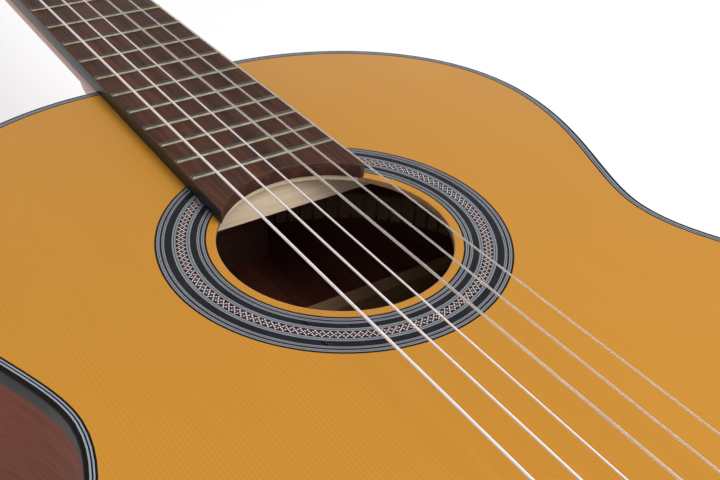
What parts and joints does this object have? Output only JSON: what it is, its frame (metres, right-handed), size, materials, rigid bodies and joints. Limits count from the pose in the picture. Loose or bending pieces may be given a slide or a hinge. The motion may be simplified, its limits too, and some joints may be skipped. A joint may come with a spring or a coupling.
{
  "type": "classical guitar",
  "caption": "Classical guitar with a slotted head, a round sound hole with an inlaid rosette, a tie bridge and geared tuners that turn their string rollers.",
  "frame": {"origin": "under the middle of the whole instrument, on the plane that its back rests on", "axes": "+Z out of the soundboard, +Y towards the head, -X the bass side"},
  "size_m": [0.368, 1.0014, 0.1113],
  "materials": {
    "spruce_top": "glossy amber lacquer over straight-grained spruce",
    "rosette_inlay": "inlaid mosaic ring, lacquered",
    "rosewood_body": "glossy lacquer over reddish-brown rosewood",
    "black_binding": "glossy black edge binding",
    "inner_wood": "bare inner wood",
    "mahogany_neck": "lacquered mahogany",
    "rosewood_board": "oiled dark rosewood",
    "bone": "polished cream",
    "nickel_silver": "polished nickel silver",
    "wound_string": "silvered copper winding",
    "nylon_string": "clear nylon",
    "tuner_brass": "polished brass",
    "roller_bone": "cream barrel with a brass gear",
    "pearl_button": "pearl-like button on a steel worm shaft"
  },
  "bodies": {
    "guitar": {"soundboard": "spruce_top", "rosette": "rosette_inlay", "back": "rosewood_body", "rib_bass": "rosewood_body", "rib_treble": "rosewood_body", "top_binding": "black_binding", "back_binding": "black_binding", "neck_block": "inner_wood", "tail_block": "inner_wood", "top_lining_bass": "inner_wood", "top_lining_treble": "inner_wood", "back_lining_bass": "inner_wood", "back_lining_treble": "inner_wood", "upper_harmonic_bar": "inner_wood", "lower_harmonic_bar": "inner_wood", "fan_bracing": "inner_wood", "back_bracing": "inner_wood", "bridge": "rosewood_board", "saddle": "bone", "neck": "mahogany_neck", "fingerboard": "rosewood_board", "nut": "bone", "tuner_plate_bass": "tuner_brass", "tuner_plate_treble": "tuner_brass", "fret_01": "nickel_silver", "fret_02": "nickel_silver", "fret_03": "nickel_silver", "fret_04": "nickel_silver", "fret_05": "nickel_silver", "fret_06": "nickel_silver", "fret_07": "nickel_silver", "fret_08": "nickel_silver", "fret_09": "nickel_silver", "fret_10": "nickel_silver", "fret_11": "nickel_silver", "fret_12": "nickel_silver", "fret_13": "nickel_silver", "fret_14": "nickel_silver", "fret_15": "nickel_silver", "fret_16": "nickel_silver", "fret_17": "nickel_silver", "fret_18": "nickel_silver", "string_1": "nylon_string", "string_2": "nylon_string", "string_3": "nylon_string", "string_4": "wound_string", "string_5": "wound_string", "string_6": "wound_string"},
    "knob_1": {"knob_1": "pearl_button"},
    "roller_1": {"roller_1": "roller_bone"},
    "knob_2": {"knob_2": "pearl_button"},
    "roller_2": {"roller_2": "roller_bone"},
    "knob_3": {"knob_3": "pearl_button"},
    "roller_3": {"roller_3": "roller_bone"},
    "knob_4": {"knob_4": "pearl_button"},
    "roller_4": {"roller_4": "roller_bone"},
    "knob_5": {"knob_5": "pearl_button"},
    "roller_5": {"roller_5": "roller_bone"},
    "knob_6": {"knob_6": "pearl_button"},
    "roller_6": {"roller_6": "roller_bone"}
  },
  "joints": [
    {"name": "knob_1_turn", "type": "hinge", "parent": "guitar", "child": "knob_1", "pos_m": [0.04027, 0.37067, 0.07314], "axis": [0, 0.2419, 0.9703], "continuous": true},
    {"name": "roller_1_turn", "type": "hinge", "parent": "guitar", "child": "roller_1", "pos_m": [0.01525, 0.36242, 0.0752], "axis": [1, 0, 0], "continuous": true},
    {"name": "knob_2_turn", "type": "hinge", "parent": "guitar", "child": "knob_2", "pos_m": [0.04027, 0.40463, 0.06468], "axis": [0, 0.2419, 0.9703], "continuous": true},
    {"name": "roller_2_turn", "type": "hinge", "parent": "guitar", "child": "roller_2", "pos_m": [0.01525, 0.39638, 0.06673], "axis": [1, 0, 0], "continuous": true},
    {"name": "knob_3_turn", "type": "hinge", "parent": "guitar", "child": "knob_3", "pos_m": [0.04027, 0.43859, 0.05621], "axis": [0, 0.2419, 0.9703], "continuous": true},
    {"name": "roller_3_turn", "type": "hinge", "parent": "guitar", "child": "roller_3", "pos_m": [0.01525, 0.43034, 0.05827], "axis": [1, 0, 0], "continuous": true},
    {"name": "knob_4_turn", "type": "hinge", "parent": "guitar", "child": "knob_4", "pos_m": [-0.04027, 0.43859, 0.05621], "axis": [0, 0.2419, 0.9703], "continuous": true},
    {"name": "roller_4_turn", "type": "hinge", "parent": "guitar", "child": "roller_4", "pos_m": [-0.01525, 0.43034, 0.05827], "axis": [1, 0, 0], "continuous": true},
    {"name": "knob_5_turn", "type": "hinge", "parent": "guitar", "child": "knob_5", "pos_m": [-0.04027, 0.40463, 0.06468], "axis": [0, 0.2419, 0.9703], "continuous": true},
    {"name": "roller_5_turn", "type": "hinge", "parent": "guitar", "child": "roller_5", "pos_m": [-0.01525, 0.39638, 0.06673], "axis": [1, 0, 0], "continuous": true},
    {"name": "knob_6_turn", "type": "hinge", "parent": "guitar", "child": "knob_6", "pos_m": [-0.04027, 0.37067, 0.07314], "axis": [0, 0.2419, 0.9703], "continuous": true},
    {"name": "roller_6_turn", "type": "hinge", "parent": "guitar", "child": "roller_6", "pos_m": [-0.01525, 0.36242, 0.0752], "axis": [1, 0, 0], "continuous": true}
  ],
  "couplings": [
    {"joint": "roller_1_turn", "follows": "knob_1_turn", "ratio": -0.071429},
    {"joint": "roller_2_turn", "follows": "knob_2_turn", "ratio": -0.071429},
    {"joint": "roller_3_turn", "follows": "knob_3_turn", "ratio": -0.071429},
    {"joint": "roller_4_turn", "follows": "knob_4_turn", "ratio": -0.071429},
    {"joint": "roller_5_turn", "follows": "knob_5_turn", "ratio": -0.071429},
    {"joint": "roller_6_turn", "follows": "knob_6_turn", "ratio": -0.071429}
  ]
}
